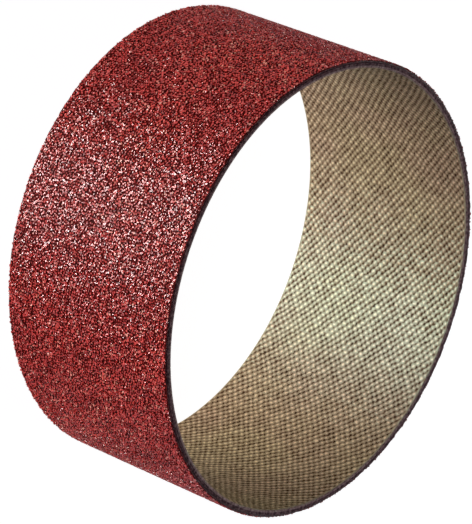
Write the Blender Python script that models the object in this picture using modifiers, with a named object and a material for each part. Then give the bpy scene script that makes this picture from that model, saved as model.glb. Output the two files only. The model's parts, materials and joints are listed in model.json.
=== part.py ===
"""Abrasive spiral band: a loop of grain-coated cloth that slips over a drum.

The band is two strips of cloth, wound as spirals and glued into one wall: a
plain liner inside, and a strip coated with resin and grain outside. Each strip
meets its own edge in a butt seam, and the two seams lie on opposite sides.
Metres. +Z is the band's axis, and the origin is the centre of its lower rim.
"""
import math

import bmesh
import bpy

# The band as it is sold: the drum that it fits, and its width along the drum
BORE_DIAMETER = 0.0510
BAND_WIDTH = 0.0250

# The wall, from the bore outwards
LINER_THICKNESS = 0.00030
BACKING_THICKNESS = 0.00030
COAT_THICKNESS = 0.00040

# Free of its drum the band is soft: its long bore less its short bore
OUT_OF_ROUND = 0.0031

# The cut at each rim breaks the coat back from the cloth and rounds its edge
COAT_SETBACK = 0.00008
COAT_EDGE_RADIUS = 0.00020

# The strips, and where the middle of each seam lies round the band
ABRASIVE_STRIP_WIDTH = 0.1016
LINER_STRIP_WIDTH = 0.1016
SEAM_GAP = 0.00030
ABRASIVE_SEAM_ANGLE = math.radians(64.0)
LINER_SEAM_ANGLE = math.radians(244.0)

# How finely the round shapes are cut into facets
FACETS_ROUND = 192
FACETS_EDGE = 3

# How far a seam cutter runs past the surfaces that it opens
CUTTER_OVERSHOOT = 0.0010

# The colour and the roughness of the two faces
GRAIN_RED = (0.215, 0.045, 0.040, 1.0)
GRAIN_ROUGHNESS = 0.55
CLOTH_KHAKI = (0.310, 0.235, 0.145, 1.0)
CLOTH_ROUGHNESS = 0.85

bore_radius = BORE_DIAMETER / 2
backing_radius = bore_radius + LINER_THICKNESS
coat_radius = backing_radius + BACKING_THICKNESS
outer_radius = coat_radius + COAT_THICKNESS


def clear_scene():
    """Remove whatever the open file holds."""
    for old in list(bpy.data.objects):
        bpy.data.objects.remove(old, do_unlink=True)


def new_collection(name):
    """A collection under the scene's own."""
    made = bpy.data.collections.new(name)
    bpy.context.scene.collection.children.link(made)
    return made


def principled(name, colour, roughness):
    """A plain material of one colour."""
    made = bpy.data.materials.new(name)
    made.use_nodes = True
    made.diffuse_color = colour
    shader = made.node_tree.nodes["Principled BSDF"]
    shader.inputs["Base Color"].default_value = colour
    shader.inputs["Roughness"].default_value = roughness
    shader.inputs["Metallic"].default_value = 0.0
    return made


def turned(name, collection, outline, turn, climb, facets):
    """Turn an outline of (radius, height) points round Z, starting at +X.

    A full turn closes on itself. A part turn climbs as a helix, and the
    filled outline caps both of its ends.
    """
    corners = [(radius, 0.0, height) for radius, height in outline]
    sides = [(i, (i + 1) % len(corners)) for i in range(len(corners))]
    full_turn = math.isclose(turn, math.tau)
    caps = [] if full_turn else [range(len(corners))]
    section = bpy.data.meshes.new(name)
    section.from_pydata(corners, sides, caps)
    piece = bpy.data.objects.new(name, section)
    collection.objects.link(piece)
    screw = piece.modifiers.new("turn", "SCREW")
    screw.axis = "Z"
    screw.angle = turn
    screw.screw_offset = climb
    screw.steps = facets
    screw.render_steps = facets
    screw.use_merge_vertices = full_turn
    screw.merge_threshold = 0.00001
    screw.use_smooth_shade = False
    apply_modifiers(piece)
    return piece


def apply_modifiers(piece):
    """Put the evaluated shape in place of the object's mesh and modifiers."""
    bpy.context.view_layer.update()
    graph = bpy.context.evaluated_depsgraph_get()
    shape = bpy.data.meshes.new_from_object(piece.evaluated_get(graph))
    piece.modifiers.clear()
    piece.data = shape


def close_outwards(piece):
    """Join doubled corners and point every face away from the solid."""
    shape = bmesh.new()
    shape.from_mesh(piece.data)
    bmesh.ops.remove_doubles(shape, verts=shape.verts, dist=0.000001)
    bmesh.ops.recalc_face_normals(shape, faces=shape.faces)
    shape.to_mesh(piece.data)
    shape.free()


def lay_out_of_round(piece):
    """Shift each point along its radius, so that X is the long way across.

    Every layer shifts by the same amount at one angle, so the wall keeps
    its thickness.
    """
    swing = OUT_OF_ROUND / 4
    for corner in piece.data.vertices:
        radius = math.hypot(corner.co.x, corner.co.y)
        angle = math.atan2(corner.co.y, corner.co.x)
        stretch = (radius + swing * math.cos(2 * angle)) / radius
        corner.co.x *= stretch
        corner.co.y *= stretch


def coat_edge(height, up):
    """The rounded edge of the coat at one rim, from the top down.

    The height is the cut end of the coat, and up is 1 at the upper rim and
    -1 at the lower one.
    """
    centre_radius = outer_radius - COAT_EDGE_RADIUS
    centre_height = height - up * COAT_EDGE_RADIUS
    points = []
    for i in range(FACETS_EDGE + 1):
        angle = math.pi / 2 * i / FACETS_EDGE
        radius = centre_radius + COAT_EDGE_RADIUS * math.sin(angle)
        points.append((radius, centre_height + up * COAT_EDGE_RADIUS * math.cos(angle)))
    return points if up > 0 else points[::-1]


def wall_outline():
    """The wall's section, down its outer side and up the bore."""
    coat_top = BAND_WIDTH - COAT_SETBACK
    coat_bottom = COAT_SETBACK
    outline = [(coat_radius, BAND_WIDTH), (coat_radius, coat_top)]
    outline += coat_edge(coat_top, 1)
    outline += coat_edge(coat_bottom, -1)
    outline += [(coat_radius, coat_bottom), (coat_radius, 0.0)]
    outline += [(bore_radius, 0.0), (bore_radius, BAND_WIDTH)]
    return outline


def seam_cutter(name, collection, strip_width, ply_radius, inner, outer, middle):
    """A helical blade that opens the butt seam of one strip.

    A strip of this width, wound edge to edge on the ply's radius, climbs at
    one angle, which fixes how far round the band its seam runs. The blade
    reaches from the inner to the outer radius and passes both rims.
    """
    climb_angle = math.asin(strip_width / (math.tau * ply_radius))
    climb = BAND_WIDTH + 2 * CUTTER_OVERSHOOT
    turn = climb / math.tan(climb_angle) / ply_radius
    half_height = SEAM_GAP / math.cos(climb_angle) / 2
    start_height = -CUTTER_OVERSHOOT
    outline = [
        (outer, start_height + half_height),
        (outer, start_height - half_height),
        (inner, start_height - half_height),
        (inner, start_height + half_height),
    ]
    facets = math.ceil(FACETS_ROUND * turn / math.tau)
    cutter = turned(name, collection, outline, turn, climb, facets)
    close_outwards(cutter)
    start_angle = middle - turn / 2
    for corner in cutter.data.vertices:
        radius = math.hypot(corner.co.x, corner.co.y)
        angle = math.atan2(corner.co.y, corner.co.x) + start_angle
        corner.co.x = radius * math.cos(angle)
        corner.co.y = radius * math.sin(angle)
    lay_out_of_round(cutter)
    cutter.hide_render = True
    cutter.display_type = "WIRE"
    return cutter


def abrasive_seam(collection):
    """The outer strip's seam, through the coat and its backing cloth."""
    ply_radius = backing_radius + BACKING_THICKNESS / 2
    return seam_cutter(
        "abrasive_seam", collection, ABRASIVE_STRIP_WIDTH, ply_radius,
        backing_radius, outer_radius + CUTTER_OVERSHOOT, ABRASIVE_SEAM_ANGLE)


def liner_seam(collection):
    """The inner strip's seam, through the liner."""
    ply_radius = bore_radius + LINER_THICKNESS / 2
    return seam_cutter(
        "liner_seam", collection, LINER_STRIP_WIDTH, ply_radius,
        bore_radius - CUTTER_OVERSHOOT, backing_radius, LINER_SEAM_ANGLE)


def open_seam(piece, cutter):
    """Take a seam out of the wall."""
    cut = piece.modifiers.new(cutter.name, "BOOLEAN")
    cut.operation = "DIFFERENCE"
    cut.solver = "EXACT"
    cut.object = cutter


def colour_faces(piece):
    """Grain on the coat, and cloth in the bore and on the two rims."""
    piece.data.materials.append(principled("abrasive_grain", GRAIN_RED, GRAIN_ROUGHNESS))
    piece.data.materials.append(principled("woven_cloth", CLOTH_KHAKI, CLOTH_ROUGHNESS))
    for face in piece.data.polygons:
        centre = face.center
        reach = math.hypot(centre.x, centre.y)
        outwards = centre.x * face.normal.x + centre.y * face.normal.y
        on_coat = reach > coat_radius and outwards > 0
        face.material_index = 0 if on_coat else 1


def make_band():
    """The whole band, with its two seams opened."""
    parts = new_collection("abrasive_spiral_band")
    cutters = new_collection("cutters")
    band = turned("abrasive_band", parts, wall_outline(), math.tau, 0.0, FACETS_ROUND)
    colour_faces(band)
    lay_out_of_round(band)
    open_seam(band, abrasive_seam(cutters))
    open_seam(band, liner_seam(cutters))
    apply_modifiers(band)
    return band


clear_scene()
make_band()
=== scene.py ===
import json
import math

import bpy
import numpy as np
from mathutils import Matrix, Vector

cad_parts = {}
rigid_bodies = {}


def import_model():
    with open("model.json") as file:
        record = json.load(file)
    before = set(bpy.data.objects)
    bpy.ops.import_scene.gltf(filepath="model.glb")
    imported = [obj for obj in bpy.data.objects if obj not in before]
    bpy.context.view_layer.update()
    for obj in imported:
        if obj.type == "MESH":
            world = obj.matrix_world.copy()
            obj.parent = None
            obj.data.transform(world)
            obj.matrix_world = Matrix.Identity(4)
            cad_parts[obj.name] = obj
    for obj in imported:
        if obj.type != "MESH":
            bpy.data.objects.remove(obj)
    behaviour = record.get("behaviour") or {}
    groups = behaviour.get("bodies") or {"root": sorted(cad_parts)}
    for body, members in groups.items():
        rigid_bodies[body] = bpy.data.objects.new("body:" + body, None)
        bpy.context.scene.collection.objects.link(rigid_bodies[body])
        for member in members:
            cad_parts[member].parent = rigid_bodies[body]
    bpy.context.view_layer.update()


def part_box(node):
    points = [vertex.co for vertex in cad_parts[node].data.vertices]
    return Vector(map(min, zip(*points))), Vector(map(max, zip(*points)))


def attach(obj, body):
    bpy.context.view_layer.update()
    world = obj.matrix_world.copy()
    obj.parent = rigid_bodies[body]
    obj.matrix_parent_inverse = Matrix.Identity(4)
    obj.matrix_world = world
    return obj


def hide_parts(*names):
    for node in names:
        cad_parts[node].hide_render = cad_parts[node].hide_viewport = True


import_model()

# The band as the frame gives it: a loop of cloth 1 mm thick that stands on its lower rim, a little
# longer across X than across Y. Each layer of the wall is made here flat, as the strip that it is,
# with x along the bore, y out from the bore and z up, and is then bent round into the loop.
band_low, band_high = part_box("abrasive_band")
band_width = band_high.z - band_low.z
long_outside = band_high.x - band_low.x
short_outside = band_high.y - band_low.y
liner_thickness = 0.00030
backing_thickness = 0.00030
coat_thickness = 0.00040
wall_thickness = liner_thickness + backing_thickness + coat_thickness
bore_radius = (long_outside + short_outside) / 4 - wall_thickness
out_of_round = (long_outside - short_outside) / 4
girth = math.tau * bore_radius

# Liner: a strip of plain-woven cotton, stiffened with size, that faces the bore. Its threads run across
# and round the band. The threads round it are full, and every second crossing is a broad knuckle; the
# twist of the yarn slants the knuckles, so that they run together in rows, with dark slits between.
strip_width = 0.1016
seam_gap = 0.00010
liner_seam_angle = math.radians(244.0)
across_pitch = 0.000505
round_pitch = 0.000438
round_lean = 0.0745
weave_middle = 0.46
falling_rows = 0.30
rising_rows = 0.18
across_rows = 0.06
thread_unevenness = 0.10
near_wander = 0.00004
far_wander = 0.00010
knuckle_height = 0.00009
rim_curl = 0.00020
back_columns = 96
crease_angle = math.radians(60.0)
broad_face = 0.45
same_place = 0.000001


def deselect_all():
    """Leave nothing selected, and no object being edited."""
    if bpy.context.object and bpy.context.object.mode != "OBJECT":
        bpy.ops.object.mode_set(mode="OBJECT")
    bpy.ops.object.select_all(action="DESELECT")


def edit(piece, select_mode):
    """Open one piece for editing, with nothing in it selected."""
    deselect_all()
    piece.select_set(True)
    bpy.context.view_layer.objects.active = piece
    bpy.ops.object.mode_set(mode="EDIT")
    bpy.ops.mesh.select_mode(type=select_mode)
    bpy.ops.mesh.select_all(action="DESELECT")


def corners_of(piece):
    """The places of a piece's corners, one row each."""
    places = np.empty(len(piece.data.vertices) * 3, np.float32)
    piece.data.vertices.foreach_get("co", places)
    return places.reshape(-1, 3).astype(float)


def move_corners(piece, places):
    """Put a piece's corners at new places."""
    piece.data.vertices.foreach_set("co", places.astype(np.float32).ravel())
    piece.data.update()


def uneven(x, z, size, seed):
    """A smooth swell, about 1 either way, in waves of about this size."""
    draw = np.random.default_rng(seed)
    total = np.zeros_like(x)
    waves = 7
    for _ in range(waves):
        heading = draw.uniform(0, math.tau)
        length = size * draw.uniform(0.7, 1.4)
        along = x * math.cos(heading) + z * math.sin(heading)
        total += np.sin(math.tau * along / length + draw.uniform(0, math.tau))
    return total / math.sqrt(waves)


def strip_lean(ply_radius):
    """How far round the bore the edge of a strip runs for each metre that it climbs."""
    climb_angle = math.asin(strip_width / (math.tau * ply_radius))
    return bore_radius / (math.tan(climb_angle) * ply_radius)


def cut_flat(place, normal, clear=""):
    """Cut the piece being edited along a plane, and drop the part behind or before it if asked."""
    bpy.ops.mesh.select_all(action="SELECT")
    bpy.ops.mesh.bisect(plane_co=place, plane_no=normal, threshold=same_place,
                        clear_inner=clear == "behind", clear_outer=clear == "before")


def bend_round(strip):
    """Bend a flat strip round the bore, into the oval that the loose band takes."""
    flat = corners_of(strip)
    angle = flat[:, 0] / bore_radius
    radius = bore_radius + out_of_round * np.cos(2 * angle) + flat[:, 1]
    move_corners(strip, np.column_stack([radius * np.cos(angle), radius * np.sin(angle), flat[:, 2]]))
    edit(strip, "FACE")
    bpy.ops.mesh.select_all(action="SELECT")
    bpy.ops.mesh.normals_make_consistent(inside=False)
    deselect_all()
    strip.select_set(True)
    bpy.ops.object.shade_smooth_by_angle(angle=crease_angle)
    deselect_all()


def finish_cut_edges(strip, face_finish, edge_finish):
    """One material on the broad faces, and another on the cut rims and seam edges."""
    strip.data.materials.append(face_finish)
    strip.data.materials.append(edge_finish)
    for face in strip.data.polygons:
        outwards = Vector((face.center.x, face.center.y, 0.0)).normalized()
        face.material_index = 0 if abs(face.normal.dot(outwards)) > broad_face else 1


def new_finish(name):
    """A new material: itself, its node tree and its Principled shader."""
    made = bpy.data.materials.new(name)
    made.use_nodes = True
    return made, made.node_tree, made.node_tree.nodes["Principled BSDF"]


def math_node(tree, operation, first, second=0.0):
    """The output of one Math node, whose inputs are sockets or numbers."""
    node = tree.nodes.new("ShaderNodeMath")
    node.operation = operation
    for socket, value in zip(node.inputs, (first, second)):
        if isinstance(value, (int, float)):
            socket.default_value = value
        else:
            tree.links.new(value, socket)
    return node.outputs[0]


def ramp_node(tree, value, stops):
    """The colour of a ramp, from stops of a position and a linear colour."""
    node = tree.nodes.new("ShaderNodeValToRGB")
    elements = node.color_ramp.elements
    while len(elements) < len(stops):
        elements.new(0.5)
    for element, (position, colour) in zip(elements, stops):
        element.position = position
        element.color = (*colour, 1.0)
    tree.links.new(value, node.inputs["Fac"])
    return node.outputs["Color"]


def noise_node(tree, vector, scale, detail=2.0):
    """The value of a noise texture at these coordinates."""
    node = tree.nodes.new("ShaderNodeTexNoise")
    node.inputs["Scale"].default_value = scale
    node.inputs["Detail"].default_value = detail
    tree.links.new(vector, node.inputs["Vector"])
    return node.outputs["Fac"]


def shifted(tree, value, noise, amount):
    """A value moved either way by a noise."""
    swing = math_node(tree, "MULTIPLY", math_node(tree, "SUBTRACT", noise, 0.5), amount)
    return math_node(tree, "ADD", value, swing)


def mix_colour(tree, amount, first, second, blend="MIX"):
    """Two colours mixed. Each input is a socket, a number or a linear colour."""
    node = tree.nodes.new("ShaderNodeMix")
    node.data_type = "RGBA"
    node.blend_type = blend
    for socket, value in zip((node.inputs[0], node.inputs[6], node.inputs[7]), (amount, first, second)):
        if isinstance(value, (int, float)):
            socket.default_value = value
        elif isinstance(value, tuple):
            socket.default_value = (*value, 1.0)
        else:
            tree.links.new(value, socket)
    return node.outputs[2]


def bump_node(tree, height, distance, strength=1.0):
    """A bump of this many metres, from a height between 0 and 1."""
    node = tree.nodes.new("ShaderNodeBump")
    node.inputs["Distance"].default_value = distance
    node.inputs["Strength"].default_value = strength
    tree.links.new(height, node.inputs["Height"])
    return node.outputs["Normal"]


def plain_weave(across, around):
    """Height of the cloth, from 0 in a slit to 1 on a knuckle, by the count of threads each way."""
    rows = (falling_rows * np.cos(math.pi * (across - around))
            + rising_rows * np.cos(math.pi * (across + around)))
    return weave_middle + rows + across_rows * np.cos(math.tau * across)


def cosine(tree, turns, amount):
    """An amount times the cosine of so many turns."""
    wave = math_node(tree, "COSINE", math_node(tree, "MULTIPLY", turns, math.tau))
    return math_node(tree, "MULTIPLY", wave, amount)


def woven_finish():
    """Khaki cotton: fine fibres, pale knuckles with a sheen from the size, and slits darkened as painted
    shade.
    """
    thread_drift = 0.8
    knuckle_difference = 0.25
    fibre_fuzz = 1.00
    millimetres = 1000.0
    made, tree, shader = new_finish("woven_cotton")
    threads = tree.nodes.new("ShaderNodeUVMap")
    threads.uv_map = "threads"
    threads = threads.outputs["UV"]
    place = tree.nodes.new("ShaderNodeTexCoord").outputs["Object"]
    count = tree.nodes.new("ShaderNodeSeparateXYZ")
    tree.links.new(threads, count.inputs["Vector"])
    across = shifted(tree, count.outputs["X"], noise_node(tree, threads, 0.9, 2.0), thread_drift)
    around = shifted(tree, count.outputs["Y"], noise_node(tree, threads, 1.1, 2.0), thread_drift)
    falling = math_node(tree, "MULTIPLY", math_node(tree, "SUBTRACT", across, around), 0.5)
    rising = math_node(tree, "MULTIPLY", math_node(tree, "ADD", across, around), 0.5)
    falling_wave = cosine(tree, falling, falling_rows)
    rising_wave = cosine(tree, rising, rising_rows)
    height = math_node(tree, "ADD", falling_wave, rising_wave)
    height = math_node(tree, "ADD", height, cosine(tree, across, across_rows))
    height = math_node(tree, "ADD", height, weave_middle)
    cell = tree.nodes.new("ShaderNodeTexWhiteNoise")
    cell.noise_dimensions = "2D"
    corner = tree.nodes.new("ShaderNodeCombineXYZ")
    tree.links.new(math_node(tree, "ROUND", rising), corner.inputs["X"])
    tree.links.new(math_node(tree, "ROUND", falling), corner.inputs["Y"])
    tree.links.new(corner.outputs["Vector"], cell.inputs["Vector"])
    height = shifted(tree, height, cell.outputs["Value"], knuckle_difference)
    height = shifted(tree, height, noise_node(tree, threads, 3.2, 3.0), fibre_fuzz)
    # The colour follows the height of the weave: pale on the knuckles, and near-black in the slits, which
    # is painted shade.
    colour = ramp_node(tree, height, [
        (0.00, (0.020, 0.011, 0.007)),
        (0.13, (0.165, 0.094, 0.050)),
        (0.36, (0.295, 0.176, 0.094)),
        (0.72, (0.400, 0.262, 0.152)),
        (1.00, (0.950, 0.740, 0.480)),
    ])
    stain = ramp_node(tree, noise_node(tree, place, 80.0, 2.0), [
        (0.36, (0.98, 0.86, 0.91)),
        (0.62, (1.02, 1.01, 0.94)),
    ])
    colour = mix_colour(tree, 1.0, colour, stain, "MULTIPLY")
    level = tree.nodes.new("ShaderNodeSeparateXYZ")
    tree.links.new(place, level.inputs["Vector"])
    from_top = math_node(tree, "SUBTRACT", band_width, level.outputs["Z"])
    from_rim = math_node(tree, "MINIMUM", from_top, level.outputs["Z"])
    from_rim = math_node(tree, "MULTIPLY", from_rim, millimetres)
    # Within 0.3 mm of each rim the weave gives way to a flat pale beige: partly the paler frayed ends of
    # threads, partly a painted highlight where the curled edge catches light.
    frayed_edge_and_highlight = ramp_node(tree, from_rim, [(0.16, (1.0, 1.0, 1.0)), (0.30, (0.0, 0.0, 0.0))])
    colour = mix_colour(tree, frayed_edge_and_highlight, colour, (0.420, 0.340, 0.225))
    polish = ramp_node(tree, height, [(0.08, (0.90, 0.90, 0.90)), (0.42, (0.42, 0.42, 0.42))])
    sheen = ramp_node(tree, height, [(0.08, (0.02, 0.02, 0.02)), (0.42, (0.95, 0.95, 0.95))])
    tree.links.new(colour, shader.inputs["Base Color"])
    tree.links.new(bump_node(tree, height, 0.00004), shader.inputs["Normal"])
    tree.links.new(polish, shader.inputs["Roughness"])
    tree.links.new(sheen, shader.inputs["Specular IOR Level"])
    shader.inputs["IOR"].default_value = 1.95
    shader.inputs["Specular Tint"].default_value = (0.68, 1.0, 0.78, 1.0)
    return made


def cut_cloth_finish(name, dark, middle, pale):
    """The cut end of the cloth: grey-brown, singed by the cutter, with the paler ends of threads."""
    made, tree, shader = new_finish(name)
    place = tree.nodes.new("ShaderNodeTexCoord").outputs["Object"]
    ends = noise_node(tree, place, 2600.0, 2.0)
    colour = ramp_node(tree, ends, [(0.36, dark), (0.52, middle), (0.70, pale)])
    tree.links.new(colour, shader.inputs["Base Color"])
    tree.links.new(bump_node(tree, ends, 0.00003), shader.inputs["Normal"])
    shader.inputs["Roughness"].default_value = 0.85
    shader.inputs["Specular IOR Level"].default_value = 0.2
    return made


liner_lean = strip_lean(bore_radius + liner_thickness / 2)
seam_foot = bore_radius * liner_seam_angle - liner_lean * band_width / 2
sheet_length = girth + liner_lean * band_width
half_across, half_round = across_pitch / 2, round_pitch / 2
columns = math.ceil(sheet_length / half_across)
rows = math.ceil((band_width + round_lean * sheet_length) / half_round)

deselect_all()
bpy.ops.mesh.primitive_grid_add(x_subdivisions=columns, y_subdivisions=rows, size=1.0)
liner = bpy.context.object
liner.name = "cloth_liner"
liner.data.name = "cloth_liner"
step = np.round((corners_of(liner)[:, :2] + 0.5) * (columns, rows))
across, around = step[:, 0] / 2, step[:, 1] / 2
x = seam_foot + step[:, 0] * half_across
z = step[:, 1] * half_round - round_lean * (x - seam_foot)
thread_draw = np.random.default_rng(15)
threads_drawn = 500
across_fullness = thread_draw.normal(0.0, thread_unevenness, threads_drawn)[np.round(across).astype(int)]
round_fullness = thread_draw.normal(0.0, thread_unevenness, threads_drawn)[np.round(around).astype(int)]
depth = -knuckle_height * (plain_weave(across, around) + across_fullness + round_fullness - 0.5)
x += near_wander * uneven(x, z, 0.003, 11) + far_wander * uneven(x, z, 0.016, 12)
z += near_wander * uneven(x, z, 0.003, 13) + far_wander * uneven(x, z, 0.018, 14)
move_corners(liner, np.column_stack([x, depth, z]))

thread_map = liner.data.uv_layers.new(name="threads")
loop_corner = np.empty(len(liner.data.loops), np.int32)
liner.data.loops.foreach_get("vertex_index", loop_corner)
counts = np.column_stack([across, around])[loop_corner]
thread_map.uv.foreach_set("vector", counts.astype(np.float32).ravel())

edit(liner, "EDGE")
cut_flat((0.0, 0.0, 0.0), (0.0, 0.0, 1.0), "behind")
cut_flat((0.0, 0.0, band_width), (0.0, 0.0, 1.0), "before")
cut_flat((seam_foot + seam_gap / 2, 0.0, 0.0), (1.0, 0.0, -liner_lean), "behind")
cut_flat((seam_foot + girth - seam_gap / 2, 0.0, 0.0), (1.0, 0.0, -liner_lean), "before")
for share in (0.35, 1.0):
    cut_flat((0.0, 0.0, share * rim_curl), (0.0, 0.0, 1.0))
    cut_flat((0.0, 0.0, band_width - share * rim_curl), (0.0, 0.0, 1.0))
deselect_all()
flat = corners_of(liner)
from_rim = np.minimum(flat[:, 2], band_width - flat[:, 2])
into_curl = np.clip(rim_curl - from_rim, 0.0, rim_curl)
flat[:, 1] *= np.clip(from_rim / (2 * rim_curl), 0.0, 1.0)
flat[:, 1] += rim_curl - np.sqrt(rim_curl ** 2 - into_curl ** 2)
move_corners(liner, flat)

edit(liner, "EDGE")
bpy.ops.mesh.select_non_manifold(extend=False)
bpy.ops.mesh.extrude_region_move(TRANSFORM_OT_translate={"value": (0.0, liner_thickness, 0.0)})
bpy.ops.object.mode_set(mode="OBJECT")
for corner in liner.data.vertices:
    if corner.select:
        corner.co.y = liner_thickness
bpy.ops.object.mode_set(mode="EDIT")
bpy.ops.mesh.edge_face_add()
bpy.ops.mesh.select_mode(type="FACE")
bpy.ops.mesh.hide(unselected=True)
for column in range(1, back_columns):
    cut_flat((seam_foot + sheet_length * column / back_columns, 0.0, 0.0), (1.0, 0.0, 0.0))
bpy.ops.mesh.reveal(select=False)
deselect_all()
bend_round(liner)
liner_cut = cut_cloth_finish(
    "cut_liner", (0.190, 0.120, 0.110), (0.360, 0.250, 0.215), (0.580, 0.450, 0.360))
finish_cut_edges(liner, woven_finish(), liner_cut)
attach(liner, "root")
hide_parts("abrasive_band")

# Backing: the cloth of the abrasive strip, glued to the liner. It shows only where it is cut, as the
# middle of the wall at both rims, and as the floor and sides of the outer seam.
abrasive_seam_angle = math.radians(64.0)
glue_line = 0.00002
backing_columns = 360
backing_rows = 32
back_rows = 16


def flat_sheet(name, columns, rows, depth, lean, seam_angle, rim_inset):
    """One face of a strip, cut on a slant so that its ends meet in a spiral seam."""
    deselect_all()
    bpy.ops.mesh.primitive_grid_add(x_subdivisions=columns, y_subdivisions=rows, size=1.0)
    sheet = bpy.context.object
    sheet.name = name
    sheet.data.name = name
    across = corners_of(sheet) + 0.5
    height = rim_inset + across[:, 1] * (band_width - 2 * rim_inset)
    seam = bore_radius * seam_angle + lean * (height - band_width / 2)
    along = seam + seam_gap / 2 + across[:, 0] * (girth - seam_gap)
    move_corners(sheet, np.column_stack([along, np.full_like(along, depth), height]))
    return sheet


def back_sheet(name, columns, rows, coarse_rows, depth, lean, seam_angle, rim_inset):
    """The hidden face of a strip, with few rows but as many points on its edge."""
    sheet = flat_sheet(name, columns, coarse_rows, depth, lean, seam_angle, rim_inset)
    places = corners_of(sheet)
    start = bore_radius * seam_angle + lean * (places[:, 2] - band_width / 2) + seam_gap / 2
    shift = places[:, 0] - start
    tolerance = 0.00001
    on_end = (shift < tolerance) | (shift > girth - seam_gap - tolerance)
    edit(sheet, "EDGE")
    bpy.ops.object.mode_set(mode="OBJECT")
    for edge in sheet.data.edges:
        first, second = edge.vertices
        same_end = abs(shift[first] - shift[second]) < tolerance
        edge.select = bool(on_end[first] and on_end[second] and same_end)
    bpy.ops.object.mode_set(mode="EDIT")
    bpy.ops.mesh.subdivide(number_cuts=rows // coarse_rows - 1)
    deselect_all()
    return sheet


def join_faces(front, back):
    """Join the two faces of a strip along its cut edges."""
    deselect_all()
    back.select_set(True)
    front.select_set(True)
    bpy.context.view_layer.objects.active = front
    bpy.ops.object.join()
    edit(front, "EDGE")
    bpy.ops.mesh.select_non_manifold(extend=False)
    bpy.ops.mesh.bridge_edge_loops()
    deselect_all()


backing_lean = strip_lean(bore_radius + liner_thickness + backing_thickness / 2)
backing = flat_sheet("backing_cloth", backing_columns, backing_rows, liner_thickness + backing_thickness,
                     backing_lean, abrasive_seam_angle, 0.0)
backing_inside = back_sheet("backing_cloth_inside", backing_columns, backing_rows, back_rows,
                            liner_thickness + glue_line, backing_lean, abrasive_seam_angle, 0.0)
join_faces(backing, backing_inside)
bend_round(backing)
backing_cut = cut_cloth_finish(
    "cut_backing", (0.050, 0.024, 0.026), (0.150, 0.080, 0.078), (0.290, 0.190, 0.175))
finish_cut_edges(backing, backing_cut, backing_cut)
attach(backing, "root")

# Coat: dark red resin, brushed over the backing, that holds the foot of every grain. It is lumpy where
# it creeps up the grains, and breaks dark and rough where the strip is cut.
coat_inset = 0.00008
resin_thickness = 0.00022
resin_swell = 0.00003
lump_size = 0.0011
break_size = 0.0009
coat_columns = 380
coat_rows = 64
coat_foot = liner_thickness + backing_thickness + glue_line


def resin_finish():
    """Dark red resin, dull, and painted darker still between the grains as shade."""
    made, tree, shader = new_finish("red_resin")
    place = tree.nodes.new("ShaderNodeTexCoord").outputs["Object"]
    lumps = noise_node(tree, place, 2400.0, 2.0)
    # The near-black red of the resin is partly its own colour and partly painted shade in the gaps
    # between the grains.
    colour = ramp_node(tree, lumps, [(0.35, (0.035, 0.001, 0.001)), (0.65, (0.110, 0.004, 0.003))])
    tree.links.new(colour, shader.inputs["Base Color"])
    tree.links.new(bump_node(tree, lumps, 0.00008), shader.inputs["Normal"])
    shader.inputs["Roughness"].default_value = 0.5
    shader.inputs["Specular IOR Level"].default_value = 0.05
    return made


def cut_resin_finish():
    """The broken edge of the coat: nearly black, with specks of cut grain."""
    made, tree, shader = new_finish("cut_resin")
    place = tree.nodes.new("ShaderNodeTexCoord").outputs["Object"]
    specks = noise_node(tree, place, 3000.0, 2.0)
    colour = ramp_node(tree, specks, [(0.45, (0.045, 0.012, 0.014)), (0.72, (0.210, 0.045, 0.045))])
    tree.links.new(colour, shader.inputs["Base Color"])
    tree.links.new(bump_node(tree, specks, 0.00006), shader.inputs["Normal"])
    shader.inputs["Roughness"].default_value = 0.6
    return made


coat = flat_sheet("resin_coat", coat_columns, coat_rows, coat_foot + resin_thickness,
                  backing_lean, abrasive_seam_angle, coat_inset)
flat = corners_of(coat)
x, z = flat[:, 0], flat[:, 2]
flat[:, 1] += resin_swell * uneven(x, z, lump_size, 21)
flat[:, 2] += np.clip(coat_inset / 2 * uneven(x, z, break_size, 22), -coat_inset, coat_inset)
move_corners(coat, flat)
coat_back = back_sheet("resin_coat_back", coat_columns, coat_rows, back_rows, coat_foot,
                       backing_lean, abrasive_seam_angle, coat_inset)
join_faces(coat, coat_back)
bend_round(coat)
finish_cut_edges(coat, resin_finish(), cut_resin_finish())
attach(coat, "root")

# Grain: crushed brown alumina, sown close and even over the wet resin and then sized with more of it.
# The crystals are blocks under 0.3 mm across with flat tops, each tipped its own way, so that some
# glint and some don't, and the gaps between them are dark, partly from shadow and partly from shade
# painted into the resin and the crystals' feet.
crystal_kinds = 8
crystal_corners = 5
crystal_knock = 0.22
crystal_least, crystal_most = 0.78, 1.20
crystal_radius = 0.000145
crystal_top = 0.66
crystal_depth = 0.00022
crystal_spacing = 0.00026
crystal_tip = math.radians(18.0)
crystal_polish = (0.30, 0.30, 0.30)
crystal_gloss = 0.80
bed_depth = liner_thickness + backing_thickness + 0.00025
bed_columns = 400
bed_rows = 40
bed_parts = 5
crowding = 10.0


def model_crystal(kind, gathered):
    """One crushed crystal: a block with sloping sides and its corners knocked about."""
    deselect_all()
    bpy.ops.mesh.primitive_cone_add(vertices=crystal_corners, depth=crystal_depth,
                                    radius1=crystal_radius, radius2=crystal_top * crystal_radius)
    crystal = bpy.context.object
    crystal.name = f"crystal_{kind}"
    bpy.ops.object.mode_set(mode="EDIT")
    bpy.ops.mesh.select_all(action="SELECT")
    bpy.ops.transform.vertex_random(offset=crystal_knock * crystal_radius, uniform=1.0, normal=0.0,
                                    seed=kind + 3)
    bpy.ops.transform.resize(value=(1.15 - 0.08 * (kind % 3), 0.74 + 0.08 * (kind % 4), 1.0))
    bpy.ops.object.mode_set(mode="OBJECT")
    for owner in list(crystal.users_collection):
        owner.objects.unlink(crystal)
    gathered.objects.link(crystal)
    return crystal


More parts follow.
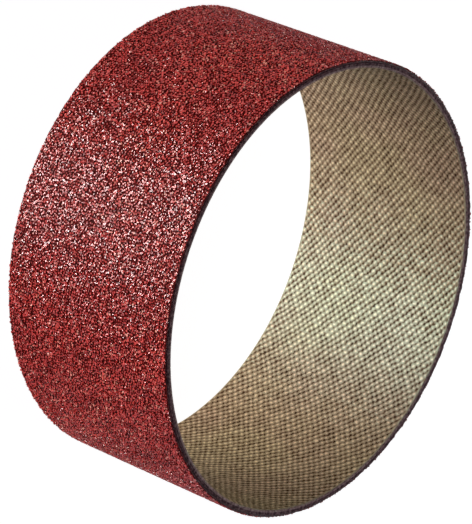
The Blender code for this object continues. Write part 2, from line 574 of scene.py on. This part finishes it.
def random_node(tree, kind, low, high, seed, low_input, high_input, output):
    """One random value for each grain."""
    node = tree.nodes.new("FunctionNodeRandomValue")
    node.data_type = kind
    node.inputs[low_input].default_value = low
    node.inputs[high_input].default_value = high
    node.inputs["Seed"].default_value = seed
    return node.outputs[output]


def sow_grain(bed, gathered, seed):
    """Scatter the crystals over a bed, and leave only the crystals."""
    tree = bpy.data.node_groups.new(f"sow_{bed.name}", "GeometryNodeTree")
    tree.interface.new_socket("Geometry", in_out="INPUT", socket_type="NodeSocketGeometry")
    tree.interface.new_socket("Geometry", in_out="OUTPUT", socket_type="NodeSocketGeometry")
    surface = tree.nodes.new("NodeGroupInput")
    result = tree.nodes.new("NodeGroupOutput")
    points = tree.nodes.new("GeometryNodeDistributePointsOnFaces")
    points.distribute_method = "POISSON"
    points.inputs["Distance Min"].default_value = crystal_spacing
    points.inputs["Density Max"].default_value = crowding / crystal_spacing ** 2
    points.inputs["Seed"].default_value = seed
    stock = tree.nodes.new("GeometryNodeCollectionInfo")
    stock.inputs["Collection"].default_value = gathered
    stock.inputs["Separate Children"].default_value = True
    stock.inputs["Reset Children"].default_value = True
    placed = tree.nodes.new("GeometryNodeInstanceOnPoints")
    placed.inputs["Pick Instance"].default_value = True
    least, most = (-crystal_tip, -crystal_tip, 0.0), (crystal_tip, crystal_tip, math.tau)
    tip = random_node(tree, "FLOAT_VECTOR", least, most, seed + 1, 0, 1, 0)
    turn = tree.nodes.new("FunctionNodeRotateRotation")
    turn.rotation_space = "LOCAL"
    size = random_node(tree, "FLOAT", crystal_least, crystal_most, seed + 2, 2, 3, 1)
    pick = random_node(tree, "INT", 0, crystal_kinds - 1, seed + 3, 4, 5, 2)
    shade = random_node(tree, "FLOAT", 0.0, 1.0, seed + 4, 2, 3, 1)
    marked = tree.nodes.new("GeometryNodeStoreNamedAttribute")
    marked.data_type = "FLOAT"
    marked.domain = "INSTANCE"
    marked.inputs["Name"].default_value = "shade"
    real = tree.nodes.new("GeometryNodeRealizeInstances")
    link = tree.links.new
    link(surface.outputs[0], points.inputs["Mesh"])
    link(points.outputs["Points"], placed.inputs["Points"])
    link(stock.outputs[0], placed.inputs["Instance"])
    link(pick, placed.inputs["Instance Index"])
    link(points.outputs["Rotation"], turn.inputs["Rotation"])
    link(tip, turn.inputs["Rotate By"])
    link(turn.outputs["Rotation"], placed.inputs["Rotation"])
    link(size, placed.inputs["Scale"])
    link(placed.outputs[0], marked.inputs["Geometry"])
    link(shade, marked.inputs["Value"])
    link(marked.outputs[0], real.inputs[0])
    link(real.outputs[0], result.inputs[0])
    deselect_all()
    bed.select_set(True)
    bpy.context.view_layer.objects.active = bed
    sowing = bed.modifiers.new("sow", "NODES")
    sowing.node_group = tree
    bpy.ops.object.modifier_apply(modifier=sowing.name)
    bpy.data.node_groups.remove(tree)


def trim_grain(grain):
    """Keep the grain inside its flat strip, and note how far each corner rises from the resin."""
    flat = corners_of(grain)
    seam = bore_radius * abrasive_seam_angle + backing_lean * (flat[:, 2] - band_width / 2)
    flat[:, 0] = np.clip(flat[:, 0], seam + seam_gap / 2, seam + girth - seam_gap / 2)
    flat[:, 1] = np.minimum(flat[:, 1], wall_thickness)
    flat[:, 2] = np.clip(flat[:, 2], coat_inset, band_width - coat_inset)
    move_corners(grain, flat)
    resin_top = coat_foot + resin_thickness
    rise = np.clip((flat[:, 1] - resin_top) / (wall_thickness - resin_top), 0.0, 1.0)
    grain.data.attributes.new("rise", "FLOAT", "POINT").data.foreach_set("value", rise.astype(np.float32))


def crystal_finish():
    """Brown alumina under a skin of red resin, dark round the foot of each crystal, partly from that
    resin and partly as painted shade.
    """
    made, tree, shader = new_finish("alumina_crystal")
    shade = tree.nodes.new("ShaderNodeAttribute")
    shade.attribute_name = "shade"
    place = tree.nodes.new("ShaderNodeTexCoord").outputs["Object"]
    colour = ramp_node(tree, shade.outputs["Fac"], [
        (0.0, (0.310, 0.009, 0.007)),
        (0.50, (0.600, 0.026, 0.020)),
        (0.88, (0.760, 0.070, 0.055)),
        (1.0, (0.860, 0.340, 0.270)),
    ])
    patch = noise_node(tree, place, 60.0, 1.0)
    warmth = ramp_node(tree, patch, [(0.35, (0.92, 0.90, 0.98)), (0.65, (1.05, 1.03, 0.92))])
    colour = mix_colour(tree, 1.0, colour, warmth, "MULTIPLY")
    rise = tree.nodes.new("ShaderNodeAttribute")
    rise.attribute_name = "rise"
    # Near the resin the crystals are darkened and lose their gloss: partly the resin that creeps up them,
    # partly painted shade between the grains.
    foot_resin_and_shade = ramp_node(tree, rise.outputs["Fac"], [(0.25, (0.05, 0.05, 0.05)), (0.65, (1.0, 1.0, 1.0))])
    tree.links.new(mix_colour(tree, 1.0, colour, foot_resin_and_shade, "MULTIPLY"), shader.inputs["Base Color"])
    polish = ramp_node(tree, rise.outputs["Fac"], [(0.25, (0.95, 0.95, 0.95)), (0.60, crystal_polish)])
    tree.links.new(polish, shader.inputs["Roughness"])
    tree.links.new(math_node(tree, "MULTIPLY", foot_resin_and_shade, crystal_gloss), shader.inputs["Specular IOR Level"])
    shader.inputs["IOR"].default_value = 1.77
    return made


crystals = bpy.data.collections.new("crystals")
alumina = crystal_finish()
for kind in range(crystal_kinds):
    model_crystal(kind, crystals).data.materials.append(alumina)

for part in range(bed_parts):
    grain = flat_sheet(f"grain_{part + 1}", bed_columns, bed_rows, bed_depth,
                       backing_lean, abrasive_seam_angle, 2 * coat_inset)
    edit(grain, "FACE")
    bpy.ops.object.mode_set(mode="OBJECT")
    for face in grain.data.polygons:
        seam = bore_radius * abrasive_seam_angle + backing_lean * (face.center.z - band_width / 2)
        share = (face.center.x - seam) / girth
        face.select = not part / bed_parts <= share < (part + 1) / bed_parts
    bpy.ops.object.mode_set(mode="EDIT")
    bpy.ops.mesh.delete(type="FACE")
    sow_grain(grain, crystals, 40 + 10 * part)
    trim_grain(grain)
    bend_round(grain)
    grain.select_set(True)
    bpy.ops.object.shade_flat()
    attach(grain, "root")

for crystal in list(crystals.objects):
    bpy.data.objects.remove(crystal)
bpy.data.collections.remove(crystals)

# Floor: a light table, a translucent white sheet that the band stands on. It shows white to the camera
# and keeps a soft shadow, and it lets through the lamp and the glow that shine up from below.
floor_half = 0.6
floor_drop = 0.00005
floor_shadow = 0.30
floor_white = 1.36
floor_gloss = 0.07

deselect_all()
bpy.ops.mesh.primitive_plane_add(size=2 * floor_half, location=(0.0, 0.0, -floor_drop))
floor = bpy.context.object
floor.name = "floor"
sheet_white, tree, shader = new_finish("white_sheet")
shader.inputs["Base Color"].default_value = (0.85, 0.85, 0.85, 1.0)
shader.inputs["Roughness"].default_value = 0.9
seen = tree.nodes.new("ShaderNodeLightPath")
white = tree.nodes.new("ShaderNodeEmission")
white.inputs["Strength"].default_value = floor_white
blend = tree.nodes.new("ShaderNodeMixShader")
gloss = math_node(tree, "MULTIPLY", seen.outputs["Is Glossy Ray"], floor_gloss)
direct = math_node(tree, "MAXIMUM", seen.outputs["Is Camera Ray"], gloss)
direct = math_node(tree, "MAXIMUM", direct, seen.outputs["Is Transmission Ray"])
tree.links.new(math_node(tree, "MULTIPLY", direct, 1 - floor_shadow), blend.inputs[0])
tree.links.new(shader.outputs[0], blend.inputs[1])
tree.links.new(white.outputs[0], blend.inputs[2])
tree.links.new(blend.outputs[0], tree.nodes["Material Output"].inputs["Surface"])
floor.data.materials.append(sheet_white)
floor.visible_shadow = False
floor.visible_diffuse = False

# Light and camera: the main lamp shines up through the table, a weak one hangs by the camera, a broad
# one fills the side away from it, and a pale glow comes through the table and fades above it. A long
# lens looks down on the band, with its axis leaning across the picture.
camera_place = Vector((-0.1504, -0.3175, 0.2929))
aim_point = Vector((0.0003, -0.0007, 0.0119))
camera_roll = math.radians(111.8)
camera_lens = 267.4
lamp_azimuth = math.radians(-111.0)
table_lamp_drop = math.radians(38.6)
table_lamp_distance = 0.35
table_lamp_size = 0.20
table_lamp_power = 0.97
high_lamp_rise = math.radians(42.0)
high_lamp_distance = 0.45
high_lamp_size = 0.18
high_lamp_power = 0.40
back_azimuth = lamp_azimuth + math.pi
back_lamp_rise = math.radians(12.0)
back_lamp_distance = 0.45
back_lamp_size = 0.30
back_lamp_power = 0.80
nadir_glow = (0.40, 0.38, 0.35)
table_glow = (0.98, 0.94, 0.87)
zenith_glow = (0.055, 0.040, 0.095)
warm_side = (1.12, 1.00, 0.78)
cool_side = (1.02, 1.00, 1.10)
glow_gloss = 0.15


def soft_lamp(name, azimuth, rise, distance, size, power):
    """A square lamp that faces the band, this far round and up from its middle."""
    level = math.cos(rise)
    way = Vector((math.cos(azimuth) * level, math.sin(azimuth) * level, math.sin(rise)))
    lamp = bpy.data.lights.new(name, "AREA")
    lamp.energy = power
    lamp.size = size
    lamp.cycles.use_multiple_importance_sampling = False
    lamp_object = bpy.data.objects.new(name, lamp)
    bpy.context.scene.collection.objects.link(lamp_object)
    lamp_object.location = aim_point + distance * way
    lamp_object.rotation_euler = (-way).to_track_quat("-Z", "Y").to_euler()
    lamp_object.visible_camera = False
    return lamp_object


soft_lamp("table_lamp", lamp_azimuth, -table_lamp_drop,
          table_lamp_distance, table_lamp_size, table_lamp_power)
soft_lamp("high_lamp", lamp_azimuth, high_lamp_rise,
          high_lamp_distance, high_lamp_size, high_lamp_power)
soft_lamp("back_lamp", back_azimuth, back_lamp_rise,
          back_lamp_distance, back_lamp_size, back_lamp_power)

world = bpy.data.worlds.new("studio")
bpy.context.scene.world = world
world.use_nodes = True
tree = world.node_tree
sky = tree.nodes["Background"]
seen = tree.nodes.new("ShaderNodeLightPath")
direct = math_node(tree, "MAXIMUM", seen.outputs["Is Camera Ray"], seen.outputs["Is Transmission Ray"])
heading = tree.nodes.new("ShaderNodeSeparateXYZ")
tree.links.new(tree.nodes.new("ShaderNodeTexCoord").outputs["Generated"], heading.inputs["Vector"])
height = math_node(tree, "ADD", math_node(tree, "MULTIPLY", heading.outputs["Z"], 0.5), 0.5)
glow = ramp_node(tree, height, [
    (0.24, nadir_glow),
    (0.34, table_glow),
    (0.48, table_glow),
    (0.53, zenith_glow),
])
sideways = math_node(tree, "ADD", math_node(tree, "MULTIPLY", heading.outputs["X"], 0.5), 0.5)
side = ramp_node(tree, sideways, [(0.10, warm_side), (0.70, cool_side)])
glow = mix_colour(tree, 1.0, glow, side, "MULTIPLY")
dimmed = mix_colour(tree, 1.0, glow, (glow_gloss, glow_gloss, glow_gloss), "MULTIPLY")
glow = mix_colour(tree, seen.outputs["Is Glossy Ray"], glow, dimmed)
tree.links.new(mix_colour(tree, direct, glow, (1.0, 1.0, 1.0)), sky.inputs["Color"])
sky.inputs["Strength"].default_value = 1.0

lens = bpy.data.cameras.new("camera")
lens.lens = camera_lens
lens.sensor_width = 36.0
lens.clip_start = 0.01
lens.clip_end = 10.0
camera = bpy.data.objects.new("camera", lens)
bpy.context.scene.collection.objects.link(camera)
camera.location = camera_place
aim = (aim_point - camera_place).to_track_quat("-Z", "Y")
camera.rotation_euler = (aim.to_matrix() @ Matrix.Rotation(camera_roll, 3, "Z")).to_euler()
bpy.context.scene.camera = camera

bpy.context.scene.view_settings.view_transform = "Standard"
